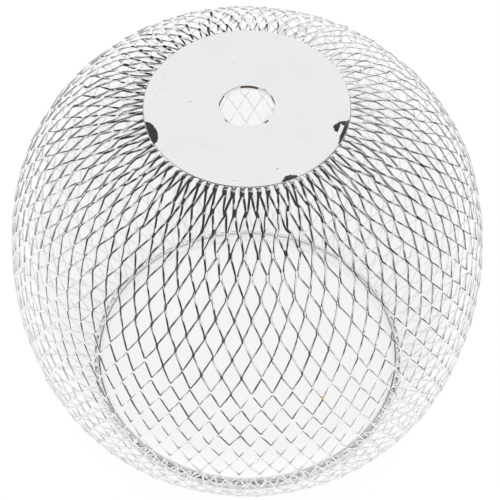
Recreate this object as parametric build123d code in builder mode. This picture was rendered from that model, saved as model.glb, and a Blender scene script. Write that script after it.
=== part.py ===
# Round mesh lampshade: a ball of expanded metal, a plain disc welded on its top with the
# hole for the lamp nipple, and a folded channel crimped round its open mouth.
# Millimetres, +Z up, the origin on the axis at the foot of the rim.

import os
from math import atan2, cos, degrees, radians, sin

from build123d import *

# Overall form
shade_height = 87.0
body_diameter = 100.0
belly_height = 40.3
belly_radius = 82.0
belly_angle_up = 11.2
belly_angle_down = 13.1

# Top disc
disc_diameter = 40.3
disc_thickness = 1.0
disc_edge_chamfer = 0.2
nipple_hole_diameter = 10.5

# Dents of the welding tip in the edge of the disc: angle round the axis and depth at the edge
weld_dents = [(-162.0, 0.32), (-66.0, 0.16), (-18.5, 0.30)]
weld_dent_reach = 2.0
weld_tip_radius = 13.0

# Expanded-metal body: bonds round one course, and courses from the rim up to the disc
bond_count = 36
course_count = 12
strand_width = 1.2
strand_thickness = 0.8
margin_width = 2.0
disc_overhang = 0.55

# Rim channel
mouth_diameter = 68.0
rim_wall = 0.55
rim_floor = 0.6
rim_height = 2.4
rim_chamfer = 0.6
rim_clearance = 0.08
lip_clearance = 0.3

# Places worked out from the sizes above
disc_radius = disc_diameter / 2
disc_underside = shade_height - disc_thickness
half_width = strand_width / 2
half_thickness = strand_thickness / 2
half_pitch = 180 / bond_count
belly_middle = body_diameter / 2 - half_thickness
foot_of_mesh = Vector(mouth_diameter / 2, 0, rim_height + lip_clearance)
top_of_mesh = Vector(disc_radius - disc_overhang, 0, disc_underside - half_thickness)

# Meridian of the ball: a flat belly between two rounder arcs that end at the rim and the disc
with BuildLine(Plane.XZ) as meridian:
    belly = CenterArc(
        (belly_middle - belly_radius, belly_height),
        belly_radius,
        -belly_angle_down,
        belly_angle_up + belly_angle_down,
    )
    TangentArc(belly @ 1, top_of_mesh, tangent=belly % 1)
    TangentArc(belly @ 0, foot_of_mesh, tangent=(belly % 0) * -1)

# Courses of bonds at even steps along the meridian, in the middle and on both faces of the sheet
sheet_line = meridian.wire()
stations = [sheet_line.length * step / course_count for step in range(course_count + 1)]
middle = []
outer = []
inner = []
for station in stations:
    place = sheet_line.position_at(station, PositionMode.LENGTH)
    along = sheet_line.tangent_at(station, PositionMode.LENGTH)
    outward = Vector(along.Z, 0, -along.X)
    middle.append(place)
    outer.append(place + outward * half_thickness)
    inner.append(place - outward * half_thickness)

# The edges of the sheet: upright in the rim, flat under the disc
outer[0] = foot_of_mesh + Vector(half_thickness, 0, 0)
inner[0] = foot_of_mesh - Vector(half_thickness, 0, 0)
outer[-1] = top_of_mesh + Vector(0, 0, half_thickness)
inner[-1] = top_of_mesh - Vector(0, 0, half_thickness)


def flat_panel(*corners):
    """One flat face of a strand."""
    return Face(Wire.make_polygon(corners))


def turned(point):
    """A point of the meridian turned to the bond beside the opening."""
    return point.rotate(Axis.Z, half_pitch)


def mirrored(point):
    """The same point on the other side of the opening."""
    return Vector(point.X, -point.Y, point.Z)


def strand_lean(bond, next_bond):
    """Run along the meridian and length of a strand between two bonds."""
    strand = next_bond - bond
    return Vector(strand.X, 0, strand.Z), strand.length


def strand_panels(side_course, end_course, corner):
    """Flanks of the two strands from the bonds beside an opening to the bond at its end.

    The flanks of a strand meet along the edge of the opening, which starts at its side
    corner and ends in the meridian plane, so that all four panels stay flat.
    """
    ridges = [(face[end_course], turned(face[side_course])) for face in (outer, inner)]
    normals = [(side - end).cross(corner - end) for end, side in ridges]
    edge = normals[0].cross(normals[1])
    tip = corner - edge * (corner.Y / edge.Y)
    panels = []
    for end, side in ridges:
        panels.append(flat_panel(end, side, corner, tip))
        panels.append(flat_panel(end, mirrored(side), mirrored(corner), tip))
    return panels


def opening_panels(course):
    """Flanks round one whole diamond between two bonds of a course."""
    bond = turned(middle[course])
    run, length = strand_lean(bond, middle[course + 1])
    corner = bond - Vector(0, half_width * length / run.length, 0)
    return strand_panels(course, course + 1, corner) + strand_panels(course, course - 1, corner)


def border_panels(course, next_course, edge_outer, edge_inner):
    """Flanks round the half diamond at an edge of the sheet, and the plain margin beyond it."""
    bond = turned(middle[course])
    run, length = strand_lean(bond, middle[next_course])
    drift = abs(bond.Y) * half_width / run.length
    across = Vector(0, drift + half_width * length / run.length, 0)
    corner = bond + run.normalized() * half_width - across
    panels = strand_panels(course, next_course, corner)
    rings = [outer[course], edge_outer, edge_inner, inner[course]]
    lines = [turned(ring) for ring in rings]
    for line, next_line in zip([corner] + lines, lines + [corner]):
        panels.append(flat_panel(line, next_line, mirrored(next_line), mirrored(line)))
    return panels


# Expanded-metal body
mesh_panels = []
rim_edge = Vector(0, 0, rim_floor - foot_of_mesh.Z)
disc_edge = Vector(-margin_width, 0, 0)
for course in range(course_count + 1):
    if course == 0:
        panels = border_panels(0, 1, outer[0] + rim_edge, inner[0] + rim_edge)
    elif course == course_count:
        panels = border_panels(course, course - 1, outer[-1] + disc_edge, inner[-1] + disc_edge)
    else:
        panels = opening_panels(course)
    for spot in PolarLocations(0, bond_count, start_angle=half_pitch * course):
        mesh_panels += [spot * panel for panel in panels]
with BuildPart() as mesh_body:
    add(Solid(Shell(mesh_panels)))

# Top disc with its weld dents
with BuildPart() as top_disc:
    with BuildSketch(Plane.XY.offset(disc_underside)):
        Circle(disc_radius)
        Circle(nipple_hole_diameter / 2, mode=Mode.SUBTRACT)
    extrude(amount=disc_thickness)
    chamfer(top_disc.faces().sort_by(Axis.Z)[-1].outer_wire().edges(), disc_edge_chamfer)
    for dent_angle, dent_depth in weld_dents:
        lean = atan2(dent_depth, weld_dent_reach)
        tip_out = weld_tip_radius * sin(lean)
        tip_height = shade_height - dent_depth + weld_tip_radius * cos(lean)
        with PolarLocations(disc_radius, 1, start_angle=dent_angle):
            with Locations(Location((tip_out, 0, tip_height), (0, 90 + degrees(lean), 0))):
                Cylinder(weld_tip_radius, 4 * weld_dent_reach, mode=Mode.SUBTRACT)

# Rim channel, open upwards round the lower margin of the mesh
slot_outer = outer[0].X + rim_clearance
slot_inner = inner[0].X * cos(radians(half_pitch)) - rim_clearance
with BuildPart() as bottom_rim:
    with BuildSketch(Plane.XZ):
        with BuildLine():
            Polyline(
                (slot_inner - rim_wall, 0),
                (slot_outer + rim_wall, 0),
                (slot_outer + rim_wall, rim_height),
                (slot_outer, rim_height),
                (slot_outer, rim_floor),
                (slot_inner, rim_floor),
                (slot_inner, rim_height),
                (slot_inner - rim_wall, rim_height),
                close=True,
            )
        make_face()
    revolve(axis=Axis.Z)
    chamfer(bottom_rim.faces().sort_by(Axis.Z)[0].edges(), rim_chamfer)

# Finished pieces
os.makedirs("parts", exist_ok=True)
for piece, piece_name in ((mesh_body, "mesh_body"), (top_disc, "top_disc"), (bottom_rim, "bottom_rim")):
    piece.part.label = piece_name
    export_step(piece.part, f"parts/{piece_name}.step")
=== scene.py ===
"""Looks of a round mesh lampshade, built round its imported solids.

A ball of chromed expanded metal, the plain disc welded on its top and the folded channel
round its open mouth. Metres, +Z up, the origin on the axis at the foot of the rim, and -Y
towards the camera. Fields that are said to be in degrees are turned into radians where used.
"""

import logging
import math
import random
from dataclasses import dataclass, field
from enum import Enum

import bmesh
import bpy
from mathutils import Matrix, Vector


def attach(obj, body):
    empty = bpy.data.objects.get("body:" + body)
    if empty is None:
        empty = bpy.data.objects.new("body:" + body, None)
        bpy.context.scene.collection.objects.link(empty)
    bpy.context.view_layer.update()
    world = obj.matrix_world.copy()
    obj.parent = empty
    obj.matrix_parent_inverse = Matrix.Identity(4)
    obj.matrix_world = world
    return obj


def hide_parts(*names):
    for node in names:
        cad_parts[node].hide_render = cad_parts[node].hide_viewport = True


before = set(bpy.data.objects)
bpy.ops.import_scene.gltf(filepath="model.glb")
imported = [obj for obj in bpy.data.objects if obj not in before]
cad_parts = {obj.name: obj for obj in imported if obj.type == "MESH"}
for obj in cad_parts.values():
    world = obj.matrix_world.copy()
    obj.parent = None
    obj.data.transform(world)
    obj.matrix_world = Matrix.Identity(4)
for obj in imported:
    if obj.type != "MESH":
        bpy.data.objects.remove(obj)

log = logging.getLogger("lampshade")

UP = Vector((0.0, 0.0, 1.0))

# Distance within which two places count as one
TOUCH = 1e-6

# Profile of a bevel that is part of a circle
ROUND = 0.5

# Face attributes that the plating reads
CUT = "cut"
DULL = "dull"

# Layers of the slit sheet: step up the meridian, and what a vertex or face belongs to
LEVEL = "level"
KIND = "kind"

# Height of the disc's upper face
DISC_TOP = 0.0870

Colour = tuple[float, float, float]
Place = tuple[float, float, float]
Size = tuple[float, float, float]
Range = tuple[float, float]
Socket = bpy.types.NodeSocket

WHITE: Colour = (1.0, 1.0, 1.0)
BLACK: Colour = (0.0, 0.0, 0.0)


class Kind(Enum):
    """What a vertex or face of the slit sheet belongs to."""

    MARGIN = 0
    BOND = 1
    OPENING = 2


class NodeGraph:
    """Adds nodes to a material or a world and links them."""

    def __init__(self, owner: bpy.types.Material | bpy.types.World) -> None:
        """Starts from an empty tree.

        Args:
            owner: material or world that the nodes are for.
        """
        owner.use_nodes = True
        self.tree = owner.node_tree
        self.tree.nodes.clear()

    def add(self, kind: str, inputs: dict[str | int, object] | None = None,
            **settings: object) -> bpy.types.Node:
        """Adds one node.

        Args:
            kind: Blender's name of the node type, after the word ShaderNode.
            inputs: values or output sockets for the node's inputs, by name or number.
            settings: properties of the node itself.

        Returns:
            The new node.
        """
        node = self.tree.nodes.new("ShaderNode" + kind)
        for name, value in settings.items():
            setattr(node, name, value)
        for socket, value in (inputs or {}).items():
            if isinstance(value, Socket):
                self.tree.links.new(value, node.inputs[socket])
            else:
                node.inputs[socket].default_value = value
        return node

    def ramp(self, value: Socket, start: float, end: float, low: float = 0.0,
             high: float = 1.0) -> Socket:
        """Turns a value from start to end into one from low to high, softly at both ends."""
        inputs = {"Value": value, "From Min": start, "From Max": end, "To Min": low, "To Max": high}
        return self.add("MapRange", inputs, interpolation_type="SMOOTHSTEP").outputs["Result"]

    def math(self, operation: str, first: float | Socket, second: float | Socket) -> Socket:
        """Works with two numbers."""
        return self.add("Math", {0: first, 1: second}, operation=operation).outputs[0]

    def vector(self, operation: str, first: Socket,
               second: Place = (0.0, 0.0, 0.0)) -> bpy.types.Node:
        """Works with a vector, and with a second one where the operation needs it."""
        return self.add("VectorMath", {0: first, 1: second}, operation=operation)

    def mix(self, share: Socket, first: float | Socket, second: float | Socket) -> Socket:
        """Mixes two numbers, by the share of the second one."""
        return self.add("Mix", {0: share, 2: first, 3: second}, data_type="FLOAT").outputs[0]

    def blend(self, share: Socket, first: Colour | Socket, second: Colour | Socket) -> Socket:
        """Mixes two colours, by the share of the second one."""
        shades = [c if isinstance(c, Socket) else (*c, 1.0) for c in (first, second)]
        return self.add("Mix", {0: share, 6: shades[0], 7: shades[1]}, data_type="RGBA").outputs[2]

    def noise(self, place: Socket, scale: float, detail: float) -> Socket:
        """Adds a cloudy pattern."""
        inputs = {"Vector": place, "Scale": scale, "Detail": detail}
        return self.add("TexNoise", inputs).outputs["Fac"]

    def distance(self, place: Socket, middle: Place, turn: float, size: Size) -> Socket:
        """Works out how far a place is from the middle of an oval.

        Args:
            place: socket with Object coordinates.
            middle: middle of the oval.
            turn: angle of the oval round the upright axis.
            size: half lengths of the oval along its own axes.

        Returns:
            Socket that is 0 in the middle and 1 at the border.
        """
        inputs = {"Vector": place, "Location": middle, "Rotation": (0.0, 0.0, turn), "Scale": size}
        near = self.add("Mapping", inputs, vector_type="TEXTURE").outputs["Vector"]
        return self.vector("LENGTH", near).outputs["Value"]


@dataclass(frozen=True)
class Scar:
    """A speck, stain, short scratch or painted glint in the plating, turned in degrees."""

    place: Place
    turn: float
    half_length: float
    half_width: float
    strength: float
    colour: Colour = (0.12, 0.10, 0.09)
    half_depth: float = 0.0004
    core: float = 0.5

    def share(self, graph: NodeGraph, place: Socket) -> Socket:
        """Works out where the mark shows.

        Args:
            graph: node graph of the material.
            place: socket with Object coordinates.

        Returns:
            Socket that is the mark's strength in its core and 0 outside it.
        """
        size = (self.half_length, self.half_width, self.half_depth)
        off = graph.distance(place, self.place, math.radians(self.turn), size)
        return graph.ramp(off, self.core, 1.0, self.strength, 0.0)


@dataclass(frozen=True)
class Chrome:
    """Bright plating on steel, hazed in clouds, dull or bare where the faces are marked so."""

    name: str
    colour: Colour = (0.84, 0.83, 0.83)
    roughness: float = 0.06

    # Clouds of haze
    haze_colour: Colour = (0.74, 0.73, 0.72)
    haze: float = 0.10
    haze_scale: float = 300.0
    haze_detail: float = 4.0
    haze_edge: Range = (0.42, 0.72)

    # Stained metal in a cut hole
    cut_colour: Colour = (0.09, 0.06, 0.045)
    cut_roughness: float = 0.30

    # Thin plating on inner faces and slit edges
    dull_colour: Colour = (0.84, 0.84, 0.84)
    dull_roughness: float = 0.45
    dull_share: float = 0.90

    # Fine grain of the rolled sheet
    grain_scale: float = 3500.0
    grain_detail: float = 3.0
    grain_strength: float = 0.4
    grain_depth: float = 0.000004

    scars: tuple[Scar, ...] = ()

    def make(self) -> bpy.types.Material:
        """Builds the material.

        Returns:
            A metal with haze, grain, dull and stained faces and marks, on Object coordinates.
        """
        material = bpy.data.materials.new(self.name)
        graph = NodeGraph(material)
        place = graph.add("TexCoord").outputs["Object"]
        cloud = graph.noise(place, self.haze_scale, self.haze_detail)
        grain = graph.noise(place, self.grain_scale, self.grain_detail)
        cut = graph.add("Attribute", attribute_name=CUT).outputs["Fac"]
        dull = graph.add("Attribute", attribute_name=DULL).outputs["Fac"]
        shade = graph.blend(graph.ramp(cloud, *self.haze_edge), self.colour, self.haze_colour)
        shade = graph.blend(cut, shade, self.cut_colour)
        shade = graph.blend(dull, shade, self.dull_colour)
        # Marks of the plating, and on the mesh the painted warm glints
        for scar in self.scars:
            shade = graph.blend(scar.share(graph, place), shade, scar.colour)
        rough = graph.ramp(cloud, *self.haze_edge, self.roughness, self.roughness + self.haze)
        rough = graph.math("MAXIMUM", rough, graph.math("MULTIPLY", cut, self.cut_roughness))
        rough = graph.math("MAXIMUM", rough, graph.math("MULTIPLY", dull, self.dull_roughness))
        plated = graph.ramp(dull, 0.0, 1.0, 1.0, 1.0 - self.dull_share)
        bump = graph.add("Bump", {"Height": grain, "Strength": self.grain_strength,
                                  "Distance": self.grain_depth})
        metal = graph.add("BsdfPrincipled", {"Base Color": shade, "Metallic": plated,
                                             "Roughness": rough, "Normal": bump.outputs["Normal"]})
        graph.add("OutputMaterial", {"Surface": metal.outputs["BSDF"]})
        return material


@dataclass(frozen=True)
class Meridian:
    """Half outline of the ball: a flat belly between two rounder arcs to the rim and the disc."""

    belly_reach: float = 0.0496
    belly_height: float = 0.0403
    belly_radius: float = 0.0820
    belly_up: float = math.radians(11.2)
    belly_down: float = math.radians(13.1)
    foot: Range = (0.0342, 0.0027)
    top: Range = (0.0194, 0.0859)

    def arcs(self) -> list[tuple[Vector, float, float, float]]:
        """Works out the three arcs from the rim upwards.

        Returns:
            Centre, radius, lower angle and upper angle of each, in the X-Z plane.
        """
        middle = Vector((self.belly_reach - self.belly_radius, self.belly_height))
        ends = []
        for joint_angle, end in ((-self.belly_down, self.foot), (self.belly_up, self.top)):
            outward = Vector((math.cos(joint_angle), math.sin(joint_angle)))
            joint = middle + self.belly_radius * outward
            gap = joint - Vector(end)
            radius = gap.length_squared / (2.0 * gap.dot(outward))
            centre = joint - radius * outward
            tip = Vector(end) - centre
            ends.append((centre, radius, joint_angle, math.atan2(tip.y, tip.x)))
        (low, low_radius, low_joint, low_tip), (high, high_radius, high_joint, high_tip) = ends
        return [
            (low, low_radius, low_tip, low_joint),
            (middle, self.belly_radius, low_joint, high_joint),
            (high, high_radius, high_joint, high_tip),
        ]

    def point(self, distance: float) -> Vector:
        """Finds a place on the meridian.

        Args:
            distance: way up the sheet from the rim.

        Returns:
            The point, in the X-Z plane.
        """
        for centre, radius, start, end in self.arcs():
            run = min(distance, radius * (end - start))
            angle = start + run / radius
            distance -= run
            if distance <= 0.0:
                break
        reach = centre.x + radius * math.cos(angle)
        return Vector((reach, 0.0, centre.y + radius * math.sin(angle)))


def share_between(value: float, ends: Range) -> float:
    """Works out how far a value lies between two ends, from 0 to 1."""
    return min(max((value - ends[0]) / (ends[1] - ends[0]), 0.0), 1.0)


def spin_round(bm: bmesh.types.BMesh, outline: list[bmesh.types.BMVert | bmesh.types.BMEdge],
               steps: int) -> None:
    """Spins an outline once round the axis and turns the faces outwards."""
    bmesh.ops.spin(bm, geom=outline, cent=(0, 0, 0), axis=UP, angle=math.tau, steps=steps,
                   use_merge=True)
    bmesh.ops.recalc_face_normals(bm, faces=bm.faces)


def spun(section: list[Range], steps: int) -> bmesh.types.BMesh:
    """Spins a closed section round the axis.

    Args:
        section: distance from the axis and height of each corner.
        steps: panels round the axis.

    Returns:
        The ring, with its faces turned outwards.
    """
    bm = bmesh.new()
    verts = [bm.verts.new((reach, 0.0, height)) for reach, height in section]
    edges = [bm.edges.new(pair) for pair in zip(verts, verts[1:] + verts[:1])]
    spin_round(bm, verts + edges, steps)
    return bm


def rings_at(bm: bmesh.types.BMesh, level: float,
             reaches: tuple[float, ...]) -> list[bmesh.types.BMEdge]:
    """Finds the edges that run round the axis at one height.

    Args:
        bm: a spun mesh.
        level: height of the edges.
        reaches: their distances from the axis.

    Returns:
        The edges.
    """
    level_edges = [e for e in bm.edges if all(abs(v.co.z - level) < TOUCH for v in e.verts)]
    return [e for e in level_edges
            if any(all(abs(v.co.xy.length - reach) < TOUCH for v in e.verts) for reach in reaches)]


def bevelled(bm: bmesh.types.BMesh, edges: list[bmesh.types.BMEdge], offset: float,
             segments: int) -> list[bmesh.types.BMFace]:
    """Cuts edges back and gives the new faces."""
    return bmesh.ops.bevel(bm, geom=edges, offset=offset, offset_type="OFFSET", affect="EDGES",
                           segments=segments, profile=ROUND, material=-1)["faces"]


def finished(bm: bmesh.types.BMesh, name: str) -> bpy.types.Object:
    """Turns a bmesh into a shown object at the origin.

    Args:
        bm: the finished mesh, freed here.
        name: name of the piece.

    Returns:
        The object, shaded smooth.
    """
    for face in bm.faces:
        face.smooth = True
    mesh = bpy.data.meshes.new(name)
    bm.to_mesh(mesh)
    bm.free()
    piece = bpy.data.objects.new(name, mesh)
    bpy.context.scene.collection.objects.link(piece)
    return piece


def fit_to_frame(piece: bpy.types.Object, finish: Chrome, node: str) -> None:
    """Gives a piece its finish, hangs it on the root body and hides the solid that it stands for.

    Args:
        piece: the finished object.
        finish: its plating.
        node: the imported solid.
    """
    piece.data.materials.append(finish.make())
    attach(piece, "root")
    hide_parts(node)


@dataclass
class MeshBall:
    """The ball of expanded metal: courses of bonds with openings between, and two margins."""

    finish: Chrome
    line: Meridian = field(default_factory=Meridian)

    # Bonds round one course, and courses up the meridian
    bonds: int = 76
    courses: int = 26
    first_course: float = 0.00014
    course_step: float = 0.004024

    # Length of the bonds, which grows between two heights
    bond_length: float = 0.00030
    disc_bond_length: float = 0.0011
    bond_growth: Range = (0.050, 0.079)

    # Plain edges of the sheet, under the disc and in the rim
    tuck: float = 0.0009
    margin: float = 0.0020
    foot_height: float = 0.0006

    # Strands, wider where they crowd, but no wider than a share of half the opening
    strand_width: float = 0.00030
    disc_widening: float = 1.35
    widest_share: float = 0.62
    strand_thickness: float = 0.00012
    slit_width: float = 0.00008
    edge_round: float = 0.00006

    # Share of half the opening past which its corners belong to the bonds beside it
    side_share: float = 0.5

    # Swing of the bonds beside an opening, with its spread
    lean: float = 0.00003
    lean_spread: float = 0.00003

    # Sink of the ends of an opening, by the bond that they are above or below
    sink_above: float = 0.00018
    sink_below: float = 0.00008

    # Lift in place of the sink below a bond, by the opening's stretch and height
    lift_below: float = 0.00010
    lift_share: Range = (0.65, 0.90)
    lift_from: Range = (0.028, 0.042)

    # Share of the sink that is lost towards the rim, between two heights
    calm_share: float = 0.65
    calm_below: Range = (0.018, 0.046)

    # Shift of single bonds, more near the disc
    unevenness: float = 0.00006
    disc_unevenness: float = 0.00025

    # Bond that faces the camera, as a share of a pitch, and twist of the rolled sheet
    front_bond: float = 0.216
    twist: float = math.radians(2.2)
    untwisted_share: float = 0.65

    @property
    def last(self) -> int:
        """Level of the upper ends of the last course."""
        return 2 * self.courses

    def build(self) -> bpy.types.Object:
        """Models the ball and dresses it.

        Returns:
            The object.
        """
        bm = self._lattice()
        self._settle(bm)
        self._open(bm)
        self._thicken(bm)
        piece = finished(bm, "mesh_ball")
        fit_to_frame(piece, self.finish, "mesh_body")
        return piece

    def _chain(self, bm: bmesh.types.BMesh) -> list[bmesh.types.BMVert]:
        """Places both ends of each course's bonds up one meridian, with a margin at each end.

        Args:
            bm: mesh that gets the vertices.

        Returns:
            The vertices, from the rim to the disc.
        """
        stations = []
        for step in range(self.courses):
            middle = self.first_course + self.course_step * step
            near_disc = share_between(self.line.point(middle).z, self.bond_growth)
            half = (self.bond_length + (self.disc_bond_length - self.bond_length) * near_disc) / 2
            stations += [middle - half, middle + half]
        stations[0] = 0.0
        stations[-1] += self.tuck
        places = [self.line.point(station) for station in stations]
        foot = Vector((places[0].x, 0.0, self.foot_height))
        inner = Vector((places[-1].x - self.margin, 0.0, self.line.top[1]))
        level = bm.verts.layers.int.new(LEVEL)
        chain = [bm.verts.new(place) for place in (foot, *places, inner)]
        for step, vert in enumerate(chain):
            vert[level] = step
        return chain

    def _lattice(self) -> bmesh.types.BMesh:
        """Spins the chain round and joins the bonds, so that each edge is a strand or a bond.

        Returns:
            A whole sheet of hexagons, with a margin of plain panels at both ends.
        """
        bm = bmesh.new()
        chain = self._chain(bm)
        edges = [bm.edges.new(pair) for pair in zip(chain, chain[1:])]
        spin_round(bm, chain + edges, 2 * self.bonds)
        level = bm.verts.layers.int[LEVEL]
        kind = bm.verts.layers.int.new(KIND)
        for vert in bm.verts:
            column = round(math.atan2(vert.co.y, vert.co.x) / math.tau * 2 * self.bonds)
            course = (vert[level] - 1) // 2
            if 1 <= vert[level] <= self.last:
                vert[kind] = (Kind.BOND if (course + column) % 2 else Kind.OPENING).value
        bonds = [v for v in bm.verts if v[kind] == Kind.BOND.value]
        bmesh.ops.connect_verts(bm, verts=bonds)
        spare = [v for v in bm.verts if v[kind] == Kind.OPENING.value and 1 < v[level] < self.last]
        bmesh.ops.dissolve_verts(bm, verts=spare)
        return bm

    def _settle(self, bm: bmesh.types.BMesh) -> None:
        """Turns a bond to the front, twists the sheet and moves each bond a little.

        Args:
            bm: the sheet.
        """
        level = bm.verts.layers.int[LEVEL]
        chance = random.Random(self.bonds)
        for vert in bm.verts:
            share = vert[level] / self.last - self.untwisted_share
            angle = -math.pi / 2 + self.front_bond * math.tau / self.bonds + self.twist * share
            vert.co.rotate(Matrix.Rotation(angle, 3, UP))
            if 1 < vert[level] < self.last:
                crowding = 1.0 - vert.co.xy.length / self.line.belly_reach
                spread = self.unevenness + self.disc_unevenness * crowding * vert[level] / self.last
                vert.co += Vector([chance.gauss(0.0, spread) for _ in range(3)])
        bm.normal_update()

    def _open(self, bm: bmesh.types.BMesh) -> None:
        """Slits the sheet along its edges and cuts the openings out between the slits.

        Args:
            bm: the sheet.
        """
        level = bm.verts.layers.int[LEVEL]
        kind = bm.faces.layers.int.new(KIND)
        for face in bm.faces:
            plain = any(v[level] in (0, self.last + 1) for v in face.verts)
            face[kind] = (Kind.MARGIN if plain else Kind.OPENING).value
        strands = [e for e in bm.edges if abs(e.verts[0][level] - e.verts[1][level]) == 1
                   and all(1 <= v[level] <= self.last for v in e.verts)]
        for face in bevelled(bm, strands, self.slit_width / 2, 1):
            face[kind] = Kind.BOND.value
        openings = [f for f in bm.faces if f[kind] == Kind.OPENING.value]
        chance = random.Random(self.courses)
        for opening in openings:
            held = {v for v in opening.verts
                    if any(f[kind] == Kind.MARGIN.value for f in v.link_faces)}
            self._draw_in(opening, held, chance.gauss(self.lean, self.lean_spread))
        bmesh.ops.delete(bm, geom=openings, context="FACES")
        bm.normal_update()
        log.info("mesh ball: %d openings", len(openings))

    def _draw_in(self, opening: bmesh.types.BMFace, held: set[bmesh.types.BMVert],
                 lean: float) -> None:
        """Draws the sides of an opening in to the strands' width and bends its ends.

        Args:
            opening: the face that is cut out afterwards.
            held: its vertices on a margin, which stay in the sheet.
            lean: way that the bond on one side swings out and the other in.
        """
        middle = opening.calc_center_median()
        normal = opening.normal.copy()
        across = UP.cross(Vector((middle.x, middle.y, 0.0))).normalized()
        upward = normal.cross(across)
        half = max(abs((v.co - middle).dot(across)) for v in opening.verts)
        stretch = half * self.bonds / (math.pi * self.line.belly_reach)
        width = min(self.strand_width * (1.0 + self.disc_widening * (1.0 - stretch)),
                    self.widest_share * half)
        lift = share_between(stretch, self.lift_share) * share_between(middle.z, self.lift_from)
        lift *= self.sink_below + self.lift_below
        calm = 1.0 - self.calm_share * (1.0 - share_between(middle.z, self.calm_below))
        for vert in opening.verts:
            share = (vert.co - middle).dot(across) / half
            side = math.copysign(1.0, share)
            beside = abs(share) > self.side_share
            if beside:
                vert.co -= across * side * (width - self.slit_width / 2)
            if vert in held:
                continue
            if beside:
                vert.co += normal * side * lean
            else:
                above_bond = (vert.co - middle).dot(upward) < 0.0
                sink = self.sink_above if above_bond else self.sink_below - lift
                vert.co -= normal * sink * stretch * calm

    def _thicken(self, bm: bmesh.types.BMesh) -> None:
        """Gives the sheet its thickness, dull inner faces and edges, and blunt strands.

        Args:
            bm: the slit sheet, which is its outer face.
        """
        dull = bm.faces.layers.float.new(DULL)
        outer = list(bm.faces)
        made = bmesh.ops.solidify(bm, geom=outer, thickness=self.strand_thickness)
        inner = [g for g in made["geom"] if isinstance(g, bmesh.types.BMFace)]
        bright = set(outer)
        for face in bm.faces:
            face[dull] = 0.0 if face in bright else 1.0
        for side in (outer, inner):
            bmesh.ops.inset_region(bm, faces=side, thickness=self.edge_round,
                                   depth=self.edge_round, use_boundary=True,
                                   use_even_offset=False)


@dataclass(frozen=True)
class WeldDent:
    """A flat mark of the welding tip near the edge of the disc, at an angle in degrees."""

    angle: float
    half_length: float
    reach: float
    start: float = 0.0
    tilt: float = math.radians(9.0)
    step: float = 0.00002

    def sink(self, turn: float, inset: float, radius: float) -> float:
        """Works out how far a point of the top sinks.

        Args:
            turn: angle of the point round the axis, in radians.
            inset: distance of the point from the edge of the disc.
            radius: radius of the disc.

        Returns:
            The depth there.
        """
        off = (turn - math.radians(self.angle) + math.pi) % math.tau - math.pi
        along = off * radius / self.half_length
        front = self.start + (self.reach - self.start) * math.sqrt(max(1.0 - along * along, 0.0))
        if not self.start <= inset < front:
            return 0.0
        return self.step + math.tan(self.tilt) * (self.reach - inset)


@dataclass
class TopDisc:
    """The plain plate on top, with its nipple hole and weld dents."""

    finish: Chrome
    radius: float = 0.02015
    hole: float = 0.00525
    underside: float = 0.0860
    top: float = DISC_TOP
    steps: int = 720
    edge_round: float = 0.00015
    edge_segments: int = 4
    hole_round: float = 0.00006
    hole_segments: int = 2

    # Stains on the hole's wall: their depth, their ends in degrees and what shows between them
    stain_depth: float = 0.00060
    stains: tuple[Range, ...] = ((65.0, 104.0), (147.0, 200.0))
    clean_share: float = 0.25

    # Fine rings near the edge, for the dents
    ring_start: float = 0.0170
    ring_step: float = 0.00012
    dents: tuple[WeldDent, ...] = (
        WeldDent(-160.2, 0.0029, 0.00180),
        WeldDent(-19.5, 0.0033, 0.00085, 0.00010),
        WeldDent(-17.3, 0.0013, 0.00275, 0.00165),
        WeldDent(-13.3, 0.0005, 0.00200, 0.00060),
        WeldDent(-66.2, 0.0016, 0.00120, 0.00010),
    )

    # Upward share of a face's normal past which it is shaded flat
    flat_from: float = 0.85

    def build(self) -> bpy.types.Object:
        """Models the disc and dresses it.

        Returns:
            The object.
        """
        rings = int((self.radius - self.edge_round - self.ring_start) / self.ring_step) + 1
        fine_rings = [self.ring_start + self.ring_step * ring for ring in range(rings)]
        stain_foot = self.top - self.stain_depth
        section = [(self.hole, self.underside), (self.hole, stain_foot), (self.hole, self.top)]
        section += [(reach, self.top) for reach in fine_rings]
        section += [(self.radius, self.top), (self.radius, self.underside)]
        bm = spun(section, self.steps)
        self._stain(bm)
        for reach, offset, segments in ((self.radius, self.edge_round, self.edge_segments),
                                        (self.hole, self.hole_round, self.hole_segments)):
            corners = rings_at(bm, self.top, (reach,)) + rings_at(bm, self.underside, (reach,))
            bevelled(bm, corners, offset, segments)
        self._dent(bm)
        piece = finished(bm, "welded_disc")
        for face in piece.data.polygons:
            face.use_smooth = abs(face.normal.z) < self.flat_from
        fit_to_frame(piece, self.finish, "top_disc")
        return piece

    def _stain(self, bm: bmesh.types.BMesh) -> None:
        """Marks the upper part of the hole's wall as cut, fully where it is stained.

        Args:
            bm: the disc, before its edges are rounded.
        """
        cut = bm.faces.layers.float.new(CUT)
        for face in bm.faces:
            middle = face.calc_center_median()
            turn = math.degrees(math.atan2(middle.y, middle.x)) % 360.0
            stained = any(start < turn < end for start, end in self.stains)
            if middle.xy.length < self.hole + TOUCH and middle.z > self.top - self.stain_depth:
                face[cut] = 1.0 if stained else self.clean_share

    def _dent(self, bm: bmesh.types.BMesh) -> None:
        """Presses the weld dents into the top.

        Args:
            bm: the disc, with rounded edges.
        """
        for vert in bm.verts:
            if vert.co.z > self.top - 2 * self.edge_round:
                turn = math.atan2(vert.co.y, vert.co.x)
                inset = self.radius - vert.co.xy.length
                vert.co.z -= max(dent.sink(turn, inset, self.radius) for dent in self.dents)


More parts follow.
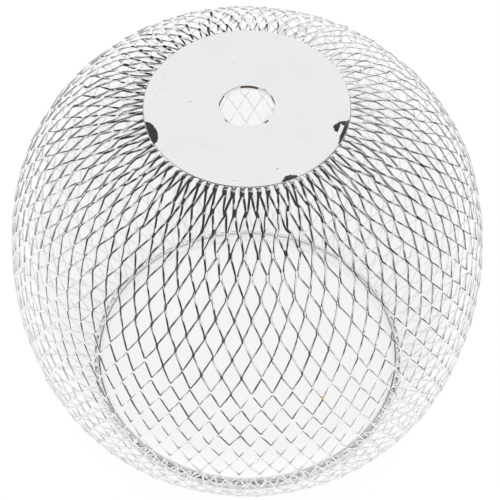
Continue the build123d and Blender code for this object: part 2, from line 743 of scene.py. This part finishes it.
@dataclass
class RimChannel:
    """The strip folded into a channel round the mouth, open upwards round the foot of the mesh."""

    finish: Chrome
    inner: float = 0.03300
    outer: float = 0.03502
    slot_inner: float = 0.03362
    slot_outer: float = 0.03394
    height: float = 0.0024
    floor: float = 0.0006
    foot_round: float = 0.00050
    foot_segments: int = 6
    shoulder_round: float = 0.00052
    shoulder_segments: int = 5
    lip_round: float = 0.00006
    lip_segments: int = 2
    steps: int = 240

    def build(self) -> bpy.types.Object:
        """Models the channel and dresses it.

        Returns:
            The object.
        """
        section = [
            (self.inner, 0.0), (self.outer, 0.0),
            (self.outer, self.height), (self.slot_outer, self.height),
            (self.slot_outer, self.floor), (self.slot_inner, self.floor),
            (self.slot_inner, self.height), (self.inner, self.height),
        ]
        bm = spun(section, self.steps)
        sides, slot = (self.inner, self.outer), (self.slot_inner, self.slot_outer)
        for level, reaches, offset, segments in (
            (0.0, sides, self.foot_round, self.foot_segments),
            (self.height, sides, self.shoulder_round, self.shoulder_segments),
            (self.height, slot, self.lip_round, self.lip_segments),
        ):
            bevelled(bm, rings_at(bm, level, reaches), offset, segments)
        dull = bm.faces.layers.float.new(DULL)
        for face in bm.faces:
            face[dull] = float(face.calc_center_median().xy.length < self.slot_outer)
        piece = finished(bm, "rim_channel")
        fit_to_frame(piece, self.finish, "bottom_rim")
        return piece


@dataclass(frozen=True)
class Sector:
    """A part of the room by its bearing, in degrees from the front towards the right."""

    turn: float
    half: float
    fade: float
    level: float

    def shade(self, graph: NodeGraph, way: Socket) -> Socket:
        """Works out how bright the room is that way.

        Args:
            graph: node graph of the world or the floor.
            way: socket with a direction, or with a place on the floor.

        Returns:
            Socket that is 1 outside the sector and the sector's level in it.
        """
        turn, half, fade = (math.radians(angle) for angle in (self.turn, self.half, self.fade))
        flat = graph.vector("MULTIPLY", way, (1.0, 1.0, 0.0)).outputs["Vector"]
        flat = graph.vector("NORMALIZE", flat).outputs["Vector"]
        toward = (math.sin(turn), -math.cos(turn), 0.0)
        facing = graph.vector("DOT_PRODUCT", flat, toward).outputs["Value"]
        return graph.ramp(facing, math.cos(half + fade), math.cos(half), 1.0, self.level)


@dataclass(frozen=True)
class Softbox:
    """A lamp face that the metal mirrors, in one sector between two rises in degrees."""

    face: Sector
    low: float
    high: float
    blur: float = 3.0

    def glow(self, graph: NodeGraph, way: Socket) -> Socket:
        """Works out how bright the lamp is in a direction.

        Args:
            graph: node graph of the world.
            way: socket with the direction.

        Returns:
            Socket that is 1 on the lamp and 0 beside it.
        """
        low, high, blur = (math.radians(angle) for angle in (self.low, self.high, self.blur))
        rise = graph.add("SeparateXYZ", {0: way}).outputs["Z"]
        above = graph.ramp(rise, math.sin(low - blur), math.sin(low + blur))
        below = graph.ramp(rise, math.sin(high - blur), math.sin(high + blur), 1.0, 0.0)
        inside = graph.math("SUBTRACT", 1.0, self.face.shade(graph, way))
        return graph.math("MULTIPLY", graph.math("MULTIPLY", above, below), inside)


@dataclass
class Studio:
    """White floor, soft light from all round, and the camera."""

    # Camera, fitted to the photograph
    camera_distance: float = 0.4069
    camera_rise: float = math.radians(52.81)
    camera_level: float = 0.0435
    camera_near: float = 0.01
    aim: Place = (0.00059, 0.0, 0.04074)
    focal_pixels: float = 1925.0
    image_pixels: float = 500.0
    sensor: float = 36.0

    # Floor, and the painted shadow: a soft grey oval behind the shade that shows through the mesh
    floor_size: float = 3.0
    floor_colour: Colour = (0.98, 0.98, 0.98)
    floor_glow: float = 0.85
    painted_shadow_place: Place = (0.0, 0.0365, 0.0)
    painted_shadow_size: Size = (0.0560, 0.0705, 1.0)
    painted_shadow_edge: Range = (0.86, 0.98)
    painted_shadow_level: float = 0.885

    # Distance from the shade over which the floor takes on the dim sectors in the metal
    floor_clear: Range = (0.32, 0.55)

    # Light that falls on the shade from all round
    fill: float = 1.20

    # Room that the metal mirrors; ranges are the upward part of a direction
    ceiling: float = 0.06
    ceiling_edge: Range = (0.60, 0.76)
    high_from: Range = (0.15, 0.32)
    side_top: Range = (0.42, 0.58)
    low_front: Sector = Sector(-4.0, 46.0, 18.0, 0.12)
    high_front: Sector = Sector(-16.0, 36.0, 20.0, 0.12)
    right: Sector = Sector(106.0, 34.0, 10.0, 0.05)
    back_left: Sector = Sector(-140.0, 32.0, 12.0, 0.05)
    lamps: tuple[Softbox, ...] = (
        Softbox(Sector(180.0, 17.0, 5.0, 0.0), 42.0, 64.0),
        Softbox(Sector(25.0, 35.0, 10.0, 0.0), 39.0, 62.0),
    )
    dark_tint: Colour = (1.0, 0.90, 0.86)

    def build(self) -> None:
        """Sets up the floor, the light and the camera."""
        self._floor()
        self._light()
        self._camera()

    def _floor(self) -> None:
        """Lays the pale floor, which glows white to the camera and keeps a share of its shadow."""
        bm = bmesh.new()
        bmesh.ops.create_grid(bm, x_segments=1, y_segments=1, size=self.floor_size)
        floor = finished(bm, "floor")
        material = bpy.data.materials.new("white_floor")
        graph = NodeGraph(material)
        rays = graph.add("LightPath").outputs
        place = graph.add("TexCoord").outputs["Object"]
        far = graph.ramp(graph.vector("LENGTH", place).outputs["Value"], *self.floor_clear)
        lit = graph.math("MULTIPLY", self.low_front.shade(graph, place),
                         self.right.shade(graph, place))
        dim = graph.math("MULTIPLY", graph.math("SUBTRACT", 1.0, lit), far)
        dim = graph.math("MULTIPLY", dim, rays["Is Glossy Ray"])
        paper = graph.add("BsdfDiffuse", {"Color": graph.blend(dim, self.floor_colour, BLACK)})
        # Painted shadow: the floor's white glow is dimmed to grey in a soft oval behind the shade
        off = graph.distance(place, self.painted_shadow_place, 0.0, self.painted_shadow_size)
        level = graph.ramp(off, *self.painted_shadow_edge, self.painted_shadow_level, 1.0)
        white = graph.add("Emission", {"Color": (*WHITE, 1.0), "Strength": level})
        seen = graph.math("MULTIPLY", rays["Is Camera Ray"], self.floor_glow)
        shown = graph.add("MixShader", {0: seen, 1: paper.outputs[0], 2: white.outputs[0]})
        graph.add("OutputMaterial", {"Surface": shown.outputs[0]})
        floor.data.materials.append(material)

    def _light(self) -> None:
        """Lights the room evenly; the metal mirrors walls with dim parts, a ceiling and lamps."""
        world = bpy.data.worlds.new("soft_room")
        bpy.context.scene.world = world
        graph = NodeGraph(world)
        way = graph.add("TexCoord").outputs["Generated"]
        rise = graph.add("SeparateXYZ", {0: way}).outputs["Z"]
        front = graph.mix(graph.ramp(rise, *self.high_from), self.low_front.shade(graph, way),
                          self.high_front.shade(graph, way))
        sides = graph.math("MULTIPLY", self.right.shade(graph, way),
                           self.back_left.shade(graph, way))
        sides = graph.mix(graph.ramp(rise, *self.side_top), sides, 1.0)
        walls = graph.math("MULTIPLY", front, sides)
        room = graph.mix(graph.ramp(rise, *self.ceiling_edge), walls, self.ceiling)
        for lamp in self.lamps:
            room = graph.math("MAXIMUM", room, lamp.glow(graph, way))
        rays = graph.add("LightPath").outputs
        level = graph.mix(rays["Is Camera Ray"], self.fill, 1.0)
        level = graph.mix(rays["Is Glossy Ray"], level, room)
        tint = graph.blend(level, self.dark_tint, WHITE)
        glow = graph.add("Background", {"Color": tint, "Strength": level})
        graph.add("OutputWorld", {"Surface": glow.outputs[0]})

    def _camera(self) -> None:
        """Stands the camera where the photograph was taken from."""
        data = bpy.data.cameras.new("camera")
        data.sensor_width = self.sensor
        data.lens = self.focal_pixels / self.image_pixels * self.sensor
        data.clip_start = self.camera_near
        camera = bpy.data.objects.new("camera", data)
        bpy.context.scene.collection.objects.link(camera)
        back = self.camera_distance * math.cos(self.camera_rise)
        rise = self.camera_distance * math.sin(self.camera_rise)
        camera.location = (0.0, -back, self.camera_level + rise)
        toward = Vector(self.aim) - camera.location
        camera.rotation_euler = toward.to_track_quat("-Z", "Y").to_euler()
        bpy.context.scene.camera = camera
        bpy.context.scene.view_settings.view_transform = "Standard"


# Colours of marks and stains, and of the painted glints on the mesh
BURNT: Colour = (0.10, 0.07, 0.05)
BURR: Colour = (0.12, 0.10, 0.08)
SOOT: Colour = (0.10, 0.09, 0.08)
GOLDEN: Colour = (0.38, 0.24, 0.10)
STRAW: Colour = (0.55, 0.42, 0.25)
ORANGE_GLINT: Colour = (0.80, 0.56, 0.28)
YELLOW_GLINT: Colour = (0.80, 0.66, 0.35)
COPPER_GLINT: Colour = (0.78, 0.52, 0.28)

# Specks and scratches of the disc, then the stains at the edge of its hole
DISC_SCARS = (
    Scar((0.00573, -0.01565, DISC_TOP), 0.0, 0.00019, 0.00019, 0.85),
    Scar((-0.01103, 0.00122, DISC_TOP), -12.0, 0.00050, 0.00010, 0.60),
    Scar((-0.01602, 0.00760, DISC_TOP), 35.0, 0.00028, 0.00010, 0.45),
    Scar((-0.01692, 0.00421, DISC_TOP), 60.0, 0.00045, 0.00008, 0.40),
    Scar((-0.01766, 0.00291, DISC_TOP), 20.0, 0.00025, 0.00010, 0.45),
    Scar((-0.01560, 0.00120, DISC_TOP), -35.0, 0.00060, 0.00007, 0.25),
    Scar((-0.00253, 0.01127, DISC_TOP), -60.0, 0.00060, 0.00012, 0.18),
    Scar((-0.00708, -0.00629, DISC_TOP), 0.0, 0.00012, 0.00012, 0.40),
    Scar((-0.00245, -0.01850, DISC_TOP), -5.0, 0.00120, 0.00007, 0.35),
    Scar((-0.00567, -0.00263, DISC_TOP), 0.0, 0.00014, 0.00014, 0.50, STRAW),
    Scar((-0.00395, -0.00368, DISC_TOP), -47.0, 0.00065, 0.00028, 0.95, GOLDEN),
    Scar((0.00372, -0.00392, DISC_TOP), 43.5, 0.00070, 0.00036, 0.95, SOOT),
    Scar((-0.00526, 0.00074, DISC_TOP), 82.0, 0.00110, 0.00016, 0.95, BURNT),
    Scar((0.00510, 0.00156, DISC_TOP), 107.0, 0.00180, 0.00018, 0.85, BURNT),
    Scar((0.00354, 0.00421, DISC_TOP), 140.0, 0.00060, 0.00016, 0.70, BURR),
)

# Painted warm glints on single bonds of the mesh: warm plating colour standing in for highlights
MESH_PAINTED_GLINTS = (
    Scar((0.01443, -0.04611, 0.05446), 0.0, 0.00060, 0.00080, 0.75, ORANGE_GLINT, 0.00080),
    Scar((-0.03449, -0.03083, 0.06231), 0.0, 0.00060, 0.00070, 0.60, YELLOW_GLINT, 0.00070),
    Scar((0.03867, -0.01796, 0.06952), 0.0, 0.00060, 0.00070, 0.60, COPPER_GLINT, 0.00070),
    Scar((0.04383, -0.01552, 0.06173), 0.0, 0.00060, 0.00070, 0.60, COPPER_GLINT, 0.00070),
)

MESH_FINISH = Chrome("mesh_chrome", scars=MESH_PAINTED_GLINTS)
DISC_FINISH = Chrome("disc_chrome", colour=(0.84, 0.84, 0.84), haze_colour=(0.815, 0.815, 0.81),
                     haze=0.02, haze_scale=160.0, scars=DISC_SCARS)
RIM_FINISH = Chrome("rim_chrome", haze=0.03)


def main() -> None:
    """Builds the lampshade and its studio."""
    logging.basicConfig(level=logging.INFO, format="%(name)s: %(message)s")
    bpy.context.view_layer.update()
    for sub_assembly in (MeshBall(MESH_FINISH), TopDisc(DISC_FINISH), RimChannel(RIM_FINISH)):
        piece = sub_assembly.build()
        log.info("%s: %d faces", piece.name, len(piece.data.polygons))
    Studio().build()


if __name__ == "__main__":
    main()
